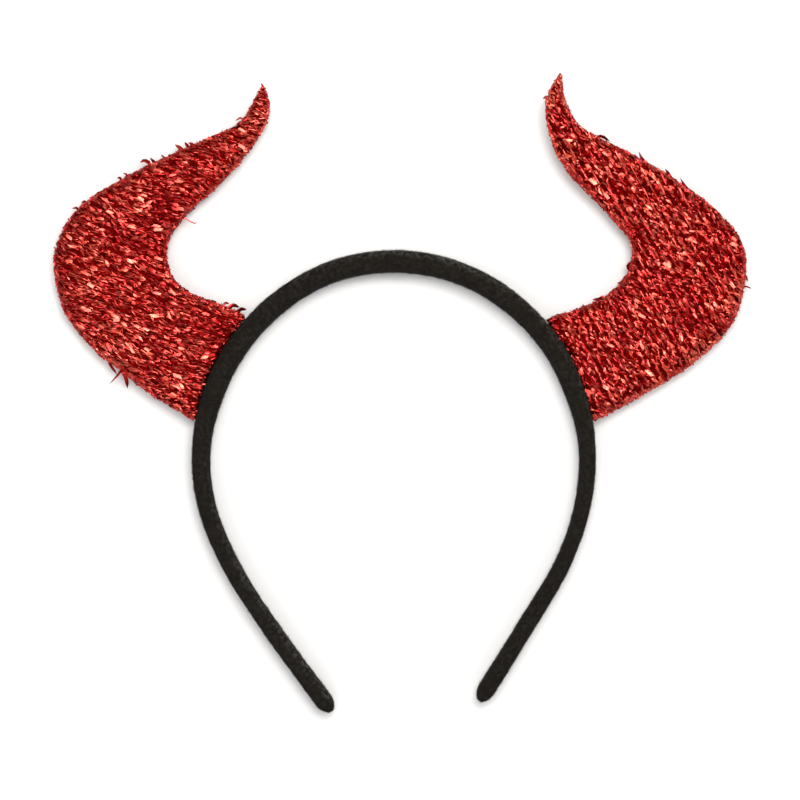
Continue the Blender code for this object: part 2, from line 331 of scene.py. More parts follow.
def meshFromArrays(name, points, faces, tones, cells, material):
    # points (strips, corners, 3), faces within one strip, a tone for each strip, and each
    # corner's place in its strip's own cell of the texture map
    stripCount, cornerCount = points.shape[:2]
    faces = np.asarray(faces)
    offsets = np.arange(stripCount)[:, None, None] * cornerCount
    loops = (faces[None] + offsets).reshape(-1)
    mesh = bpy.data.meshes.new(name)
    mesh.vertices.add(stripCount * cornerCount)
    mesh.vertices.foreach_set("co", points.astype(np.float32).ravel())
    mesh.loops.add(len(loops))
    mesh.loops.foreach_set("vertex_index", loops.astype(np.int32))
    faceCount = stripCount * len(faces)
    mesh.polygons.add(faceCount)
    mesh.polygons.foreach_set("loop_start", (np.arange(faceCount) * faces.shape[1]).astype(np.int32))
    mesh.update(calc_edges=True)
    tone = mesh.attributes.new("tone", "FLOAT", "POINT")
    tone.data.foreach_set("value", np.repeat(tones, cornerCount).astype(np.float32))
    side = math.ceil(math.sqrt(stripCount))
    index = np.arange(stripCount)
    corner = np.stack([index % side, index // side], 1)[:, None, :] + cells[None] * 0.8 + 0.1
    texture = mesh.uv_layers.new(name="OFBake")     # a cell for each strip, for baking
    texture.uv.foreach_set("vector", (corner / side).reshape(-1, 2)[loops].astype(np.float32).ravel())
    mesh.materials.append(material)
    mesh.validate()
    piece = bpy.data.objects.new(name, mesh)
    bpy.context.scene.collection.objects.link(piece)
    return piece


ribbonShape = {
    "along": (-1.0, -0.5, 0.5, 1.0),
    "body": (0.0, 1.0, 0.95, 0.0),          # 1 where the strip has its whole width
    "across": (-1.0, 0.0, 0.0, 1.0),        # two halves that meet in a sharp crease
}


def ribbonFaces(rows):
    columns = len(ribbonShape["across"])
    faces = []
    for row in range(rows - 1):
        for column in (0, 2):
            first = row * columns + column
            faces.append((first, first + 1, first + columns + 1, first + columns))
    return faces


def ribbonCells(rows):
    along = (np.array(rows) + 1.0) / 2.0
    across = (np.array(ribbonShape["across"]) + np.array((1.0, 0.9, 1.1, 1.0))) / 2.0
    return np.array([(a, c) for a in along for c in across])


def ribbonPoints(strips):
    # strips is a dictionary of arrays, one entry a strip: a bowed, twisted, creased ribbon
    centre, along, normal = strips["centre"], strips["along"], strips["normal"]
    side = np.cross(normal, along)
    rows = []
    for share, body in zip(ribbonShape["along"], ribbonShape["body"]):
        width = np.where(body > 0.0, body, strips["ends"])
        turn = strips["twist"] + strips["curl"] * share
        across = side * np.cos(turn)[:, None] + normal * np.sin(turn)[:, None]
        up = normal * np.cos(turn)[:, None] - side * np.sin(turn)[:, None]
        height = strips["rise"] - strips["bow"] * share * share + strips["pitch"] * share
        middle = (centre + along * (strips["length"] / 2 * share)[:, None]
                  + side * (strips["bend"] * share * share)[:, None]
                  + normal * height[:, None])
        for place in ribbonShape["across"]:
            crease = strips["crease"] * strips["width"] / 2 * (1.0 - abs(place))
            half = strips["width"] / 2 * width * place
            rows.append(middle + across * half[:, None] + up * crease[:, None]
                        + along * (half * strips["slant"])[:, None])
    return np.stack(rows, 1)


def unit(vectors):
    return vectors / np.maximum(np.linalg.norm(vectors, axis=1), 1e-9)[:, None]


# Horn pads

hornPads = {
    "voxel": 0.85 * millimetre,
    "inset": 0.08 * millimetre,     # the strips stand on the pad, out to the real outline
    "pressure": 4.0,
    "frames": 20,
    "mostMove": 0.45 * millimetre,
    "lumpHeight": 0.20 * millimetre,
    "lumpScale": 95.0,
    "fill": 0.7,
    "middleHeight": 0.0045,         # of a horn over the table, at its rim
    "topHeight": 0.0060,            # and on its upper face
}
hornDents = {
    # where the cloth is drawn in: picture point, radius in pixels, way and depth in pixels
    "left_horn": [((120.0, 373.0), 22.0, (2.2, -2.6)), ((141.0, 387.0), 14.0, (0.8, -1.2))],
    "right_horn": [],
}


def drawIn(mesh, dents):
    points = coordinates(mesh)
    for place, radius, way in dents:
        spot = np.array(photoPoint(*place, hornPads["middleHeight"]))[:2]
        away = np.linalg.norm(points[:, :2] - spot, axis=1) / (radius * pixelSize)
        share = np.clip(1.0 - away, 0.0, 1.0) ** 0.5
        points[:, 0] += way[0] * pixelSize * share
        points[:, 1] -= way[1] * pixelSize * share
    setCoordinates(mesh, points)


def copyOfNode(nodeName, pieceName):
    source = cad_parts[nodeName]
    piece = bpy.data.objects.new(pieceName, source.data.copy())
    bpy.context.scene.collection.objects.link(piece)
    piece.data.materials.clear()
    mesh = bmesh.new()
    mesh.from_mesh(piece.data)
    bmesh.ops.remove_doubles(mesh, verts=mesh.verts, dist=1e-6)
    bmesh.ops.join_triangles(mesh, faces=mesh.faces, angle_face_threshold=math.radians(40),
                             angle_shape_threshold=math.radians(180))
    mesh.to_mesh(piece.data)
    mesh.free()
    return piece


def coordinates(mesh):
    flat = np.zeros(len(mesh.vertices) * 3, np.float32)
    mesh.vertices.foreach_get("co", flat)
    return flat.reshape(-1, 3).astype(float)


def setCoordinates(mesh, points):
    mesh.vertices.foreach_set("co", points.astype(np.float32).ravel())
    mesh.update()


def puffUp(piece):
    # air pressure swells the cover, and the cap keeps it inside the horn's real shape
    rest = coordinates(piece.data)
    cloth = piece.modifiers.new("puff", "CLOTH")
    cloth.settings.use_pressure = True
    cloth.settings.uniform_pressure_force = hornPads["pressure"]
    cloth.settings.effector_weights.gravity = 0.0
    for step in range(1, hornPads["frames"] + 1):
        bpy.context.scene.frame_set(step)
    applyModifier(piece, cloth)
    bpy.context.scene.frame_set(1)
    move = coordinates(piece.data) - rest
    size = np.linalg.norm(move, axis=1)
    scale = np.minimum(1.0, hornPads["mostMove"] / np.maximum(size, 1e-9))
    setCoordinates(piece.data, rest + move * scale[:, None])
    print(piece.name, "swelled by up to", round(float(size.max()) * 1000, 2), "mm before the cap")


def makeHornPad(nodeName, pieceName, ground):
    piece = copyOfNode(nodeName, pieceName)
    remesh = piece.modifiers.new("remesh", "REMESH")
    remesh.mode = "VOXEL"
    remesh.voxel_size = hornPads["voxel"]
    applyModifier(piece, remesh)
    shrink = piece.modifiers.new("inset", "DISPLACE")
    shrink.strength = -hornPads["inset"]
    shrink.mid_level = 0.0
    applyModifier(piece, shrink)
    puffUp(piece)
    drawIn(piece.data, hornDents[nodeName])
    smooth = piece.modifiers.new("subdivision", "SUBSURF")
    smooth.levels = 1
    smooth.render_levels = 1
    applyModifier(piece, smooth)
    mesh = bmesh.new()
    mesh.from_mesh(piece.data)
    for vert in mesh.verts:
        lump = noise.noise(vert.co * hornPads["lumpScale"])
        vert.co += vert.normal * lump * hornPads["lumpHeight"]
    mesh.to_mesh(piece.data)
    mesh.free()
    piece.data.shade_smooth()
    piece.data.materials.append(ground)
    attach(piece, "root")
    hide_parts(nodeName)
    print(pieceName, "has", len(piece.data.polygons), "faces")
    return piece


# Tinsel strips on the horns

hornTinsel = {
    "left": {
        "main": "arched",
        "grain": -24.0,                     # degrees, the way the knit runs
        "lean": -20.0,                      # and the way the strips lie in it
        "wander": 18.0,                     # slow turn of the strips over the horn
        "jitter": 15.0,
        "pitchAlong": 2.40 * millimetre,
        "pitchAcross": 0.27 * millimetre,
        "missing": 0.06,
        "hole": {"along": 4.6 * millimetre, "across": 2.9 * millimetre, "reach": 1.35 * millimetre,
                 "width": 0.62 * millimetre, "share": 0.65},
        "threadSpacing": 2.9 * millimetre,
        "threadShare": 0.12,
        "flatShare": 0.07,
        "glintShare": 0.020,
        "rimAlong": 0.35,
        "seed": 11,
    },
    "right": {
        "main": "patch",
        "grain": -61.0,
        "lean": -42.0,
        "wander": 16.0,
        "jitter": 20.0,
        "pitchAlong": 2.20 * millimetre,
        "pitchAcross": 0.28 * millimetre,
        "missing": 0.06,
        "hole": {"along": 4.4 * millimetre, "across": 2.55 * millimetre, "reach": 1.40 * millimetre,
                 "width": 0.64 * millimetre, "share": 0.80},
        "threadSpacing": 2.55 * millimetre,
        "threadShare": 0.75,
        "flatShare": 0.13,
        "glintShare": 0.010,
        "rimAlong": 0.20,
        "seed": 23,
    },
}
stripKinds = {
    # most of the foil is folded along its length, in arched strips or in shorter patches, some
    # lies flat and catches the light, and long threads hold it together
    "arched": {
        "length": (1.7 * millimetre, 3.4 * millimetre),
        "width": (0.24 * millimetre, 0.48 * millimetre),
        "tilt": 24.0,       # degrees that it leans on its long axis
        "curl": 9.0,        # and how much more at its ends
        "nose": 7.0,        # degrees that it dips or lifts along its length
        "rise": (0.05 * millimetre, 0.40 * millimetre),
        "bow": (0.10 * millimetre, 0.40 * millimetre),
        "bend": 0.26 * millimetre,
        "crease": 0.42,     # height of its fold, as a share of half its width
        "ends": 0.45,       # width at its ends, as a share
        "slant": 0.4,       # how far its ends are cut askew
        "tones": (2.1, 1.9),
    },
    "patch": {
        "length": (1.2 * millimetre, 2.8 * millimetre),
        "width": (0.30 * millimetre, 0.74 * millimetre),
        "tilt": 21.0,
        "curl": 9.0,
        "nose": 8.0,
        "rise": (0.05 * millimetre, 0.40 * millimetre),
        "bow": (0.08 * millimetre, 0.36 * millimetre),
        "bend": 0.12 * millimetre,
        "crease": 0.36,
        "ends": 0.55,
        "slant": 0.6,
        "tones": (2.3, 1.9),
    },
    "flat": {
        "length": (1.4 * millimetre, 2.6 * millimetre),
        "width": (0.55 * millimetre, 1.00 * millimetre),
        "tilt": 13.0,
        "curl": 4.0,
        "nose": 9.0,
        "rise": (0.15 * millimetre, 0.40 * millimetre),
        "bow": (0.05 * millimetre, 0.18 * millimetre),
        "bend": 0.10 * millimetre,
        "crease": 0.04,
        "ends": 0.80,
        "slant": 0.7,
        "tones": (4.0, 1.5),
    },
    "glint": {
        "length": (1.8 * millimetre, 3.0 * millimetre),
        "width": (0.70 * millimetre, 1.20 * millimetre),
        "tilt": 5.0,
        "curl": 2.0,
        "nose": 4.0,
        "rise": (0.42 * millimetre, 0.55 * millimetre),
        "bow": (0.02 * millimetre, 0.08 * millimetre),
        "bend": 0.08 * millimetre,
        "crease": 0.0,
        "ends": 0.85,
        "slant": 0.9,
        "tones": (9.0, 1.2),
    },
    "thread": {
        "length": (2.6 * millimetre, 4.8 * millimetre),
        "width": (0.42 * millimetre, 0.62 * millimetre),
        "tilt": 20.0,
        "curl": 8.0,
        "nose": 2.0,
        "rise": (0.34 * millimetre, 0.50 * millimetre),
        "bow": (0.10 * millimetre, 0.25 * millimetre),
        "bend": 0.16 * millimetre,
        "crease": 0.34,
        "ends": 0.45,
        "slant": 0.2,
        "tones": (4.0, 3.0),
    },
    "rim": {
        "length": (1.2 * millimetre, 2.5 * millimetre),
        "width": (0.30 * millimetre, 0.95 * millimetre),
        "tilt": 26.0,
        "curl": 9.0,
        "nose": 10.0,
        "rise": (0.05 * millimetre, 0.38 * millimetre),
        "bow": (0.10 * millimetre, 0.30 * millimetre),
        "bend": 0.10 * millimetre,
        "crease": 0.28,
        "ends": 0.65,
        "slant": 0.7,
        "tones": (1.5, 1.4),
    },
}
paintedLightPatches = {
    # painted light and shade on the foil, where its tone is raised or lowered to stand for brighter and
    # shadier spots: picture point, radius in pixels, change of tone
    "left": [
        ((263, 122), 16, 0.35), ((90, 245), 11, 0.25), ((87, 286), 12, 0.35), ((120, 345), 26, 0.15),
        ((145, 213), 9, 0.20), ((196, 140), 16, 0.10), ((166, 207), 17, -0.28), ((136, 236), 22, -0.18),
        ((226, 338), 22, -0.30), ((76, 212), 12, -0.15), ((112, 292), 12, -0.10),
    ],
    "right": [
        ((551, 92), 16, 0.40), ((571, 156), 11, 0.35), ((603, 178), 9, 0.35), ((656, 172), 14, 0.25),
        ((650, 222), 12, 0.15), ((706, 350), 18, 0.40), ((640, 402), 22, 0.20), ((741, 296), 14, 0.20),
        ((690, 322), 19, -0.30), ((588, 372), 20, -0.18), ((713, 240), 22, -0.12), ((616, 187), 8, -0.25),
        ((668, 290), 16, -0.10),
    ],
}
paintedLightReach = 1.5        # radii from its middle at which a painted patch has faded out
edgeTrim = {
    "steps": 6,         # tries at pulling a strip in, so that it ends at the horn's edge
    "overhang": (0.0, 1.05 * millimetre),
    "shortest": 0.2,    # share of its length that a strip keeps at least
}
glints = {
    "normal": (0.06, 0.16, 0.985),      # halfway between the camera and the softbox
    "hornShare": 0.35,                  # and how much they still follow the horn
}
rayHeight = 0.05        # rays on to a pad start this far above and below the table
latticeScatter = (0.7, 0.8)     # how far a strip may lie off its place, as a share of the pitch
wanderScale = 45.0
knitPull = {
    "scale": 90.0,
    "along": 1.0 * millimetre,
    "across": 0.5 * millimetre,
    "second": (0.0, 0.0, 7.3),      # step to where the pull across the knit is read
}
holeProbes = (-1.1, -0.55, 0.0, 0.55, 1.1)      # millimetres along a strip that may cross a hole
rimTinsel = {
    "slope": 0.84,      # faces steeper than this count as the rim
    "count": 2700,
    "spread": 45.0,
    "eaves": 0.80,      # how far the strips there turn up, to hang out over the side
    "underside": 0.4,   # and how thinly they cover what faces down
    "downFrom": -0.2,   # the height of a normal that counts as facing down
    "jitter": 24.0,
}
threadLook = {
    "breaks": 4.6 * millimetre,     # from one thread's middle to the next one's, along a row
    "scatter": (0.5, 0.25),
    "wander": 0.4,                  # share of the strips' own wander
    "jitter": 3.0,
}


def inHole(u, v, hole):
    # the knit opens in staggered diamonds, pulled out of line here and there
    spot = Vector((u, v, 0.0)) * knitPull["scale"]
    u += knitPull["along"] * noise.noise(spot)
    v += knitPull["across"] * noise.noise(spot + Vector(knitPull["second"]))
    row = round(v / hole["across"])
    along = hole["along"]
    offU = (u + 0.5 * along * (row % 2) + along / 2) % along - along / 2
    offV = v - row * hole["across"]
    return (offU / hole["reach"]) ** 2 + (offV / hole["width"]) ** 2 < 1.0


def crossesHole(u, v, angle, look):
    # a strip that would lie over an opening
    for reach in holeProbes:
        du = reach * millimetre * math.cos(angle)
        dv = reach * millimetre * math.sin(angle)
        if inHole(u + du, v + dv, look["hole"]):
            return True
    return False


def knitAxes(look):
    angle = math.radians(look["grain"])
    along = np.array((math.cos(angle), math.sin(angle)))
    return along, np.array((-along[1], along[0]))


def knitPlaces(low, high, look, pitch, shift, scatter, rng):
    # a staggered lattice that runs with the knit: a place along and across it, the point that
    # lies there, a height to look down or up from, and a random number
    along, across = knitAxes(look)
    reach = math.hypot(high.x - low.x, high.y - low.y) / 2
    middle = np.array(((low.x + high.x) / 2, (low.y + high.y) / 2))
    columns, rows = (int(reach / step) for step in pitch)
    for row in range(-rows, rows + 1):
        for column in range(-columns, columns + 1):
            drawn = rng.random(6)
            for number, height in enumerate((rayHeight, -rayHeight)):
                u = (column + 0.5 * (row % 2) + scatter[0] * (drawn[2 * number] - 0.5)) * pitch[0]
                v = (row + shift + scatter[1] * (drawn[2 * number + 1] - 0.5)) * pitch[1]
                yield u, v, middle + along * u + across * v, height, drawn[4 + number]


def dropOn(tree, spot, height):
    return tree.ray_cast(Vector((spot[0], spot[1], height)), Vector((0, 0, -height)))


def latticePoints(tree, low, high, look, rng):
    # the strips, dropped on the pad from above and below
    angle = math.radians(look["lean"] - look["grain"])
    pitch = (look["pitchAlong"], look["pitchAcross"])
    found = []
    for u, v, spot, height, skip in knitPlaces(low, high, look, pitch, 0.0, latticeScatter, rng):
        if skip < look["missing"]:
            continue
        hit = dropOn(tree, spot, height)
        if hit[0] is None or (skip < look["hole"]["share"] and crossesHole(u, v, angle, look)):
            continue
        found.append((*hit[0], *hit[1]))
    return np.array(found)


def threadPoints(tree, low, high, look, rng):
    # the long threads run between the rows of openings
    pitch = (threadLook["breaks"], look["threadSpacing"])
    found = []
    for u, v, spot, height, skip in knitPlaces(low, high, look, pitch, 0.5, threadLook["scatter"], rng):
        if skip > look["threadShare"]:
            continue
        hit = dropOn(tree, spot, height)
        if hit[0] is not None:
            found.append((*hit[0], *hit[1]))
    return np.array(found)


def rimPoints(pad, rng):
    mesh = pad.data
    rim = [face for face in mesh.polygons if abs(face.normal.z) < rimTinsel["slope"]]
    downFrom = rimTinsel["downFrom"]
    areas = np.array([face.area * (1.0 if face.normal.z > downFrom else rimTinsel["underside"])
                      for face in rim])
    chosen = rng.choice(len(rim), rimTinsel["count"], p=areas / areas.sum())
    normals = np.array([rim[i].normal for i in chosen])
    normals[:, 2] += np.where(normals[:, 2] > downFrom, rimTinsel["eaves"], 0.0)
    return np.hstack([np.array([rim[i].center for i in chosen]), unit(normals)])


def grainDirection(points, normals, base, wander, jitter, rng):
    turns = [base + wander * noise.noise(Vector(p) * wanderScale) for p in points]
    angle = np.radians(np.array(turns) + rng.normal(0.0, jitter, len(points)))
    flat = np.stack([np.cos(angle), np.sin(angle), np.zeros(len(points))], 1)
    return unit(flat - normals * (flat * normals).sum(1)[:, None])


def rimDirection(normals, rng):
    round_ = unit(np.cross(np.array((0.0, 0.0, 1.0)), normals))
    turn = np.radians(rng.normal(0.0, rimTinsel["spread"], len(normals)))
    side = np.cross(normals, round_)
    return round_ * np.cos(turn)[:, None] + side * np.sin(turn)[:, None]


def stripArrays(kind, centre, along, normal, rng):
    form = stripKinds[kind]
    count = len(centre)
    length = rng.uniform(*form["length"], count)
    return {
        "centre": centre,
        "along": along,
        "normal": normal,
        "length": length,
        "width": rng.uniform(*form["width"], count),
        "twist": rng.normal(0.0, math.radians(form["tilt"]), count),
        "curl": rng.normal(0.0, math.radians(form["curl"]), count),
        "rise": rng.uniform(*form["rise"], count),
        "bow": rng.uniform(*form["bow"], count),
        "pitch": np.tan(rng.normal(0.0, math.radians(form["nose"]), count)) * length / 2,
        "crease": rng.normal(0.0, form["crease"], count),
        "bend": rng.normal(0.0, form["bend"], count),
        "tone": rng.beta(*form["tones"], count),
        "overhang": rng.uniform(*edgeTrim["overhang"], count),
        "ends": np.full(count, form["ends"]),
        "slant": rng.normal(0.0, form["slant"], count),
    }


def paintedLightShift(centres, paintedPatches):
    shift = np.zeros(len(centres))
    for place, radius, change in paintedPatches:
        spot = np.array(photoPoint(*place, hornPads["topHeight"]))[:2]
        away = np.linalg.norm(centres[:, :2] - spot, axis=1) / (radius * pixelSize)
        shift += change * np.clip(paintedLightReach - away, 0.0, 1.0)
    return shift


def trimToEdge(tree, strips):
    # an end that stands out over the horn's edge is drawn back to it
    for sign in (-1.0, 1.0):
        for number in range(len(strips["centre"])):
            along, length = strips["along"][number], strips["length"][number]
            centre, spare = strips["centre"][number], strips["overhang"][number]
            cut = 0.0
            for step in range(edgeTrim["steps"]):
                end = centre + along * sign * (length / 2 - cut - spare)
                if dropOn(tree, end, rayHeight)[0] is not None:
                    break
                cut += length / edgeTrim["steps"]
            strips["length"][number] = max(length - cut, edgeTrim["shortest"] * length)
            strips["centre"][number] = centre - along * sign * cut / 2


def makeTinsel(pad, pieceName, look, foil):
    rng = np.random.default_rng(look["seed"])
    tree = BVHTree.FromObject(pad, bpy.context.evaluated_depsgraph_get())
    points = coordinates(pad.data)
    low, high = Vector(points.min(0)), Vector(points.max(0))
    face = latticePoints(tree, low, high, look, rng)
    threads = threadPoints(tree, low, high, look, rng)
    rim = rimPoints(pad, rng)
    drawn = rng.random(len(face))
    isGlint = drawn < look["glintShare"]
    isFlat = ~isGlint & (drawn < look["glintShare"] + look["flatShare"])
    bright = face[isGlint]
    bright[:, 3:] = unit(bright[:, 3:] * glints["hornShare"]
                         + np.array(glints["normal"]) * np.sign(bright[:, 5:]))
    sets = []
    for kind, spots in ((look["main"], face[~isFlat & ~isGlint]), ("flat", face[isFlat]),
                        ("glint", bright), ("thread", threads), ("rim", rim)):
        centre, normal = spots[:, :3], spots[:, 3:]
        if kind == "rim":
            along = grainDirection(centre, normal, look["lean"], look["wander"], rimTinsel["jitter"], rng)
            follows = rng.random(len(along)) < look["rimAlong"]
            along[follows] = rimDirection(normal[follows], rng)
        elif kind == "thread":
            along = grainDirection(centre, normal, look["grain"], threadLook["wander"] * look["wander"],
                                   threadLook["jitter"], rng)
        else:
            along = grainDirection(centre, normal, look["lean"], look["wander"], look["jitter"], rng)
        sets.append(stripArrays(kind, centre, along, normal, rng))
    strips = {key: np.concatenate([part[key] for part in sets]) for key in sets[0]}
    paintedPatches = paintedLightPatches["left" if pieceName.startswith("left") else "right"]
    # painted light and shade: the patches raise or lower the strips' tone
    strips["tone"] = np.clip(strips["tone"] + paintedLightShift(strips["centre"], paintedPatches), 0.0, 1.0)
    trimToEdge(tree, strips)
    rows = ribbonShape["along"]
    piece = meshFromArrays(pieceName, ribbonPoints(strips), ribbonFaces(len(rows)), strips["tone"],
                           ribbonCells(rows), foil)
    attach(piece, "root")
    print(pieceName, "has", len(strips["tone"]), "strips")
    return piece


# Loose strands at the horns' edges

frayStrands = {
    # points of the picture that it runs through, width in millimetres, and tone from dark to bright
    "leftHornFrays": [
        (((108.0, 355.0), (108.6, 361.0), (112.2, 368.0), (117.0, 374.4)), 1.25, 0.05, "strand"),
        (((128.0, 365.0), (121.8, 369.6), (117.2, 375.8), (109.0, 384.6)), 1.10, 0.00, "spike"),
        (((120.0, 368.0), (124.0, 373.6), (126.9, 380.7), (127.4, 388.0)), 1.40, 0.20, "strand"),
        (((143.6, 383.0), (146.4, 387.6), (146.6, 392.2)), 0.80, 0.05, "strand"),
        (((147.0, 386.0), (152.8, 392.0), (155.2, 399.4)), 1.35, 0.30, "strand"),
        (((152.0, 167.5), (148.2, 161.9), (143.8, 160.0), (140.2, 162.6)), 1.30, 0.05, "strand"),
        (((157.0, 166.4), (153.0, 160.8), (150.0, 157.6)), 1.50, 0.05, "spike"),
        (((185.6, 154.6), (180.2, 148.0), (175.2, 144.6)), 1.40, 0.60, "strand"),
        (((190.0, 150.0), (187.2, 145.4), (184.8, 142.2)), 1.10, 0.40, "strand"),
        (((195.0, 148.0), (192.2, 143.9), (188.4, 142.6)), 1.10, 0.35, "strand"),
        (((166.4, 161.6), (163.8, 157.4), (161.2, 154.4)), 0.80, 0.30, "strand"),
        (((263.4, 91.0), (262.9, 86.6), (261.4, 83.2)), 0.90, 0.30, "strand"),
        (((246.0, 121.2), (240.4, 117.6), (235.6, 120.6)), 0.70, 0.60, "strand"),
        (((183.0, 216.6), (189.6, 221.2), (195.2, 223.8), (197.0, 221.0)), 0.45, 0.75, "strand"),
        (((227.0, 309.4), (233.0, 304.6), (239.4, 307.4)), 1.30, 0.05, "strand"),
        (((236.0, 313.0), (241.0, 308.8), (246.4, 309.8)), 1.40, 0.30, "strand"),
        (((206.6, 304.4), (211.6, 300.8), (217.4, 303.0)), 1.00, 0.10, "strand"),
        (((221.6, 307.4), (226.0, 302.6), (229.0, 303.6)), 0.90, 0.45, "strand"),
        (((80.6, 211.6), (76.2, 207.6), (72.0, 208.4)), 0.90, 0.20, "strand"),
        (((88.0, 204.6), (84.6, 201.4), (81.4, 202.6)), 0.90, 0.10, "strand"),
        (((122.6, 181.6), (119.6, 177.4), (117.0, 178.0)), 0.90, 0.10, "strand"),
        (((128.6, 178.6), (126.0, 174.0), (123.2, 173.0)), 0.80, 0.50, "strand"),
    ],
    "rightHornFrays": [
        (((645.0, 164.0), (641.4, 157.6), (638.8, 151.4)), 1.50, 0.00, "spike"),
        (((687.6, 191.0), (683.6, 184.0), (680.2, 177.8)), 1.35, 0.00, "spike"),
        (((669.4, 178.6), (667.8, 172.6), (665.4, 169.0)), 1.50, 0.40, "spike"),
        (((657.6, 173.6), (655.6, 168.6), (652.6, 165.8)), 1.30, 0.25, "spike"),
        (((594.0, 139.4), (598.4, 135.8), (603.4, 136.8), (609.6, 141.6)), 1.10, 0.05, "strand"),
        (((550.4, 99.4), (546.0, 96.8), (543.0, 98.6)), 1.00, 0.20, "strand"),
        (((632.0, 261.6), (627.6, 265.4), (628.4, 270.6)), 1.10, 0.05, "strand"),
        (((617.0, 288.0), (613.0, 293.6), (606.4, 295.4)), 1.20, 0.05, "strand"),
        (((603.6, 296.0), (598.6, 299.6), (592.6, 299.4)), 1.10, 0.10, "strand"),
        (((626.6, 275.0), (621.6, 282.6), (617.0, 283.4)), 1.00, 0.15, "strand"),
        (((740.0, 273.0), (745.8, 276.4), (747.6, 281.4)), 1.00, 0.10, "strand"),
        (((740.4, 286.4), (747.6, 286.8), (751.4, 288.6)), 0.60, 0.15, "strand"),
    ],
}
frayShape = {
    "strand": (0.60, 0.90, 1.0, 1.0, 0.85, 0.15),   # width along it, as a share
    "spike": (1.30, 1.15, 0.95, 0.70, 0.42, 0.10),
    "twist": 20.0,              # degrees that a strand stands on edge
    "roll": 25.0,               # and how much more at its end
    "fold": 0.20,
    "depth": 1.6 * millimetre,  # how far under the horn's face it comes out
    "droop": 1.2 * millimetre,
    "guess": 5.0 * millimetre,
    "seed": 41,
}


def strandPoints(path, width, shape, startHeight, rng):
    places = np.array(path)
    steps = np.linalg.norm(np.diff(places, axis=0), axis=1)
    distance = np.concatenate([[0.0], np.cumsum(steps)]) / steps.sum()
    shares = np.linspace(0.0, 1.0, len(shape))
    spots = np.array([photoPoint(np.interp(share, distance, places[:, 0]),
                                 np.interp(share, distance, places[:, 1]),
                                 startHeight - frayShape["droop"] * share * share)
                      for share in shares])
    along = unit(np.gradient(spots, axis=0))
    level = unit(np.cross(np.array((0.0, 0.0, 1.0)), along))
    upright = np.cross(along, level)
    turn = (math.radians(frayShape["twist"]) * rng.uniform(-1.0, 1.0)
            + math.radians(frayShape["roll"]) * shares)
    across = level * np.cos(turn)[:, None] + upright * np.sin(turn)[:, None]
    fold = upright * np.cos(turn)[:, None] - level * np.sin(turn)[:, None]
    half = np.array(shape)[:, None] * width / 2
    columns = [spots + across * half * place + fold * half * frayShape["fold"] * (1.0 - abs(place))
               for place in ribbonShape["across"]]
    return np.stack(columns, 1).reshape(-1, 3)


def middleHeight(tree, spot):
    # halfway through the pad at a spot, and 0 where the spot is off the pad
    ends = [dropOn(tree, spot, height)[0] for height in (rayHeight, -rayHeight)]
    return 0.0 if None in ends else (ends[0].z + ends[1].z) / 2


def makeFrays(pad, pieceName, foil):
    rng = np.random.default_rng(frayShape["seed"])
    tree = BVHTree.FromObject(pad, bpy.context.evaluated_depsgraph_get())
    strands = []
    for path, width, tone, shape in frayStrands[pieceName]:
        start = photoPoint(*path[0], frayShape["guess"])
        hit = tree.find_nearest(start + Vector((0.0, 0.0, frayShape["guess"])))
        middle = middleHeight(tree, photoPoint(*path[0], hit[0].z))
        strands.append(strandPoints(path, width * millimetre, frayShape[shape],
                                    max(hit[0].z - frayShape["depth"], middle), rng))
    tones = np.array([strand[2] for strand in frayStrands[pieceName]])
    rows = np.linspace(-1.0, 1.0, len(frayShape["strand"]))
    piece = meshFromArrays(pieceName, np.array(strands), ribbonFaces(len(rows)), tones,
                           ribbonCells(rows), foil)
    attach(piece, "root")
    return piece


# Velvet band

bandVelvet = {
    "levels": 2,
    "swell": (0.32 * millimetre, -0.05 * millimetre),   # at the legs and at the crown
    "crownFrom": 0.010,                 # where the legs turn into the crown
    "crownTo": 0.045,
    "softness": 0.10 * millimetre,      # the padding is a little uneven
    "softScale": 60.0,
    "tuft": 0.16 * millimetre,          # and so is the cut of the pile
    "tuftScale": 420.0,
}
velvetPile = {
    "count": 60000,
    "length": (0.25 * millimetre, 0.75 * millimetre),
    "thickness": 0.090 * millimetre,
    "tuftScale": 650.0,                 # the pile stands in tufts, longer and shorter
    "lean": 0.55,
    "paintedSheenFacing": (0.45, 0.95),              # how far its root must face the light to be painted paler: a painted sheen
    "leastPaintedSheen": 0.12,
    "growth": (0.5, 0.9, 0.25),         # middle, share of the tufts, and what is left to chance
    "tone": (0.35, 1.6),                # middle and share of the tufts
    "toneChance": (0.6, 1.2),
    "bareBelow": -0.9,                  # none on the flat side that it lies on
    "seed": 5,
}


def makeBandVelvet(velvet):
    piece = copyOfNode("headband", "bandVelvet")
    smooth = piece.modifiers.new("subdivision", "SUBSURF")
    smooth.levels = bandVelvet["levels"]
    smooth.render_levels = bandVelvet["levels"]
    applyModifier(piece, smooth)
    mesh = bmesh.new()
    mesh.from_mesh(piece.data)
    for vert in mesh.verts:
        swell = float(np.interp(vert.co.y, (bandVelvet["crownFrom"], bandVelvet["crownTo"]),
                                bandVelvet["swell"]))
        swell += noise.noise(vert.co * bandVelvet["softScale"]) * bandVelvet["softness"]
        swell += noise.noise(vert.co * bandVelvet["tuftScale"]) * bandVelvet["tuft"]
        vert.co += vert.normal * swell
        vert.co.z = max(vert.co.z, 0.0)
    mesh.to_mesh(piece.data)
    mesh.free()
    piece.data.shade_smooth()
    piece.data.materials.append(velvet)
    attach(piece, "root")
    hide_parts("headband")
    return piece


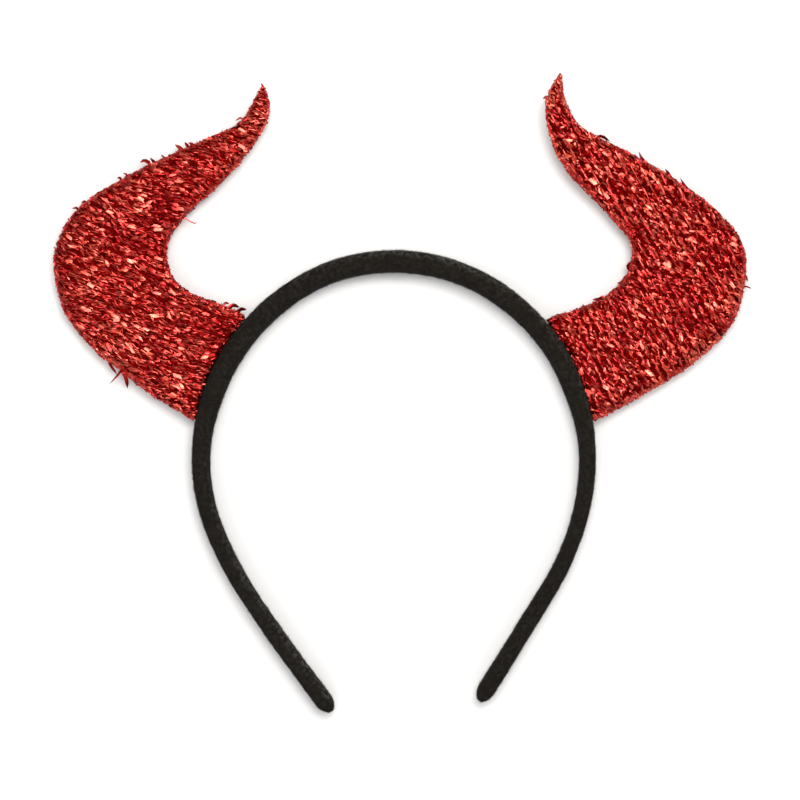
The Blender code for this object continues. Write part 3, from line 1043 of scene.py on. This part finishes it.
def makeVelvetPile(band, fibre):
    rng = np.random.default_rng(velvetPile["seed"])
    count = velvetPile["count"]
    mesh = band.data
    mesh.calc_loop_triangles()
    points = coordinates(mesh)
    triangles = np.array([triangle.vertices[:] for triangle in mesh.loop_triangles])
    corners = points[triangles]
    spans = np.cross(corners[:, 1] - corners[:, 0], corners[:, 2] - corners[:, 0])
    areas = np.linalg.norm(spans, axis=1) / 2
    chosen = rng.choice(len(areas), count, p=areas / areas.sum())
    shares = rng.random((count, 2))
    shares = np.where(shares.sum(1)[:, None] > 1.0, 1.0 - shares, shares)
    corners, normals = corners[chosen], unit(spans[chosen])
    root = (corners[:, 0] + (corners[:, 1] - corners[:, 0]) * shares[:, :1]
            + (corners[:, 2] - corners[:, 0]) * shares[:, 1:])
    covered = normals[:, 2] > velvetPile["bareBelow"]
    root, normals = root[covered], normals[covered]
    # painted sheen: fibres whose roots face the key light get a paler tone
    facing = np.interp(normals @ np.array(napAndSheenLook["paintedSheenFacing"]), velvetPile["paintedSheenFacing"],
                       (velvetPile["leastPaintedSheen"], 1.0))
    lean = unit(normals + rng.normal(0.0, velvetPile["lean"], normals.shape))
    tufts = np.array([noise.noise(Vector(p) * velvetPile["tuftScale"]) for p in root])
    middle, share, chance = velvetPile["growth"]
    growth = np.clip(middle + share * tufts + rng.uniform(-chance, chance, len(root)), 0.0, 1.0)
    middle, share = velvetPile["tone"]
    tone = np.clip(middle + share * tufts, 0.0, 1.0) * facing
    tone = tone * rng.uniform(*velvetPile["toneChance"], len(root))
    shortest, longest = velvetPile["length"]
    length = shortest + (longest - shortest) * growth
    side = unit(np.cross(lean, rng.normal(0.0, 1.0, normals.shape)))
    other = np.cross(lean, side)
    foot = root - normals * velvetPile["thickness"]
    around = [(1.0, 0.0), (-0.5, 0.866), (-0.5, -0.866)]
    rows = [foot + (side * a + other * b) * velvetPile["thickness"] / 2 for a, b in around]
    tip = root + lean * length[:, None]
    tip[:, 2] = np.maximum(tip[:, 2], 0.0)
    faces = [(0, 1, 3), (1, 2, 3), (2, 0, 3)]
    cells = np.array([(0.0, 0.0), (0.5, 0.5), (1.0, 0.0), (0.5, 1.0)])
    piece = meshFromArrays("velvetPile", np.stack(rows + [tip], 1), faces, tone, cells, fibre)
    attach(piece, "root")
    print("velvetPile has", len(root), "fibres")
    return piece


# Studio

def makeFloor():
    deselectAll()
    bpy.ops.mesh.primitive_plane_add(size=floorLook["size"], location=(0, 0, floorLook["height"]))
    floor = bpy.context.active_object
    floor.name = "paleFloor"
    material, tree, shader = makeShader("paleFloor", 0.0)
    shader.inputs["Base Color"].default_value = floorLook["colour"]
    shader.inputs["Roughness"].default_value = floorLook["roughness"]
    shader.inputs["Specular IOR Level"].default_value = floorLook["specular"]
    floor.data.materials.append(material)


def makeLights():
    for name, look in lights.items():
        data = bpy.data.lights.new(name, "AREA")
        data.shape = "RECTANGLE"
        data.size, data.size_y = look["size"]
        data.energy = look["watts"]
        data.color = look.get("colour", (1.0, 1.0, 1.0))
        lamp = bpy.data.objects.new(name, data)
        lamp.location = look["at"]
        lamp.rotation_euler = (lampTarget - lamp.location).to_track_quat("-Z", "Y").to_euler()
        lamp.visible_camera = False
        bpy.context.scene.collection.objects.link(lamp)
    world = bpy.data.worlds.new("studio")
    world.use_nodes = True
    background = world.node_tree.nodes["Background"]
    background.inputs["Color"].default_value = (1.0, 1.0, 1.0, 1.0)
    direction = addNode(world.node_tree, "ShaderNodeTexCoord", (-1100, 200))
    parts = addNode(world.node_tree, "ShaderNodeSeparateXYZ", (-850, 200))
    walls = addNode(world.node_tree, "ShaderNodeMapRange", (-600, 200), interpolation_type="SMOOTHSTEP")
    walls.inputs["From Max"].default_value = worldLook["wallTop"]
    walls.inputs["To Min"].default_value = worldLook["horizon"]
    walls.inputs["To Max"].default_value = worldLook["zenith"]
    rays = addNode(world.node_tree, "ShaderNodeLightPath", (-600, -150))
    seen = addNode(world.node_tree, "ShaderNodeMapRange", (-300, 0))
    seen.inputs["To Max"].default_value = worldLook["backdrop"]
    world.node_tree.links.new(direction.outputs["Generated"], parts.inputs["Vector"])
    world.node_tree.links.new(parts.outputs["Z"], walls.inputs["Value"])
    depth = addNode(world.node_tree, "ShaderNodeMapRange", (-600, 450))
    depth.inputs["From Min"].default_value = -1.0
    depth.inputs["To Min"].default_value = worldLook["front"]
    depth.inputs["To Max"].default_value = worldLook["back"]
    room = addNode(world.node_tree, "ShaderNodeMath", (-400, 300), operation="MULTIPLY")
    world.node_tree.links.new(parts.outputs["Y"], depth.inputs["Value"])
    world.node_tree.links.new(walls.outputs["Result"], room.inputs[0])
    world.node_tree.links.new(depth.outputs["Result"], room.inputs[1])
    world.node_tree.links.new(room.outputs["Value"], seen.inputs["To Min"])
    world.node_tree.links.new(rays.outputs["Is Camera Ray"], seen.inputs["Value"])
    world.node_tree.links.new(seen.outputs["Result"], background.inputs["Strength"])
    bpy.context.scene.world = world
    bpy.context.scene.view_settings.view_transform = "Standard"


def makeCamera():
    data = bpy.data.cameras.new("photoCamera")
    data.sensor_width = cameraView["sensorWidth"]
    data.lens = cameraView["sensorWidth"] * cameraView["height"] / cameraView["frameWidth"]
    data.clip_start = 0.01
    camera = bpy.data.objects.new("photoCamera", data)
    camera.location = (cameraView["x"], cameraView["y"], cameraView["height"])
    bpy.context.scene.collection.objects.link(camera)
    bpy.context.scene.camera = camera


makeCamera()
makeLights()
makeFloor()
crumpleGroup = makeCrumpleGroup()
napAndSheenGroup = makeNapAndSheenGroup()
foilMaterial = makeFoil(crumpleGroup)
groundMaterial = makeGround(crumpleGroup)
print("studio and materials made")

leftPad = makeHornPad("left_horn", "leftHornPad", groundMaterial)
rightPad = makeHornPad("right_horn", "rightHornPad", groundMaterial)
makeTinsel(leftPad, "leftHornTinsel", hornTinsel["left"], foilMaterial)
makeTinsel(rightPad, "rightHornTinsel", hornTinsel["right"], foilMaterial)
makeFrays(leftPad, "leftHornFrays", foilMaterial)
makeFrays(rightPad, "rightHornFrays", foilMaterial)
bandPiece = makeBandVelvet(makeVelvet(napAndSheenGroup))
makeVelvetPile(bandPiece, makePileFibre())

print("all pieces made")
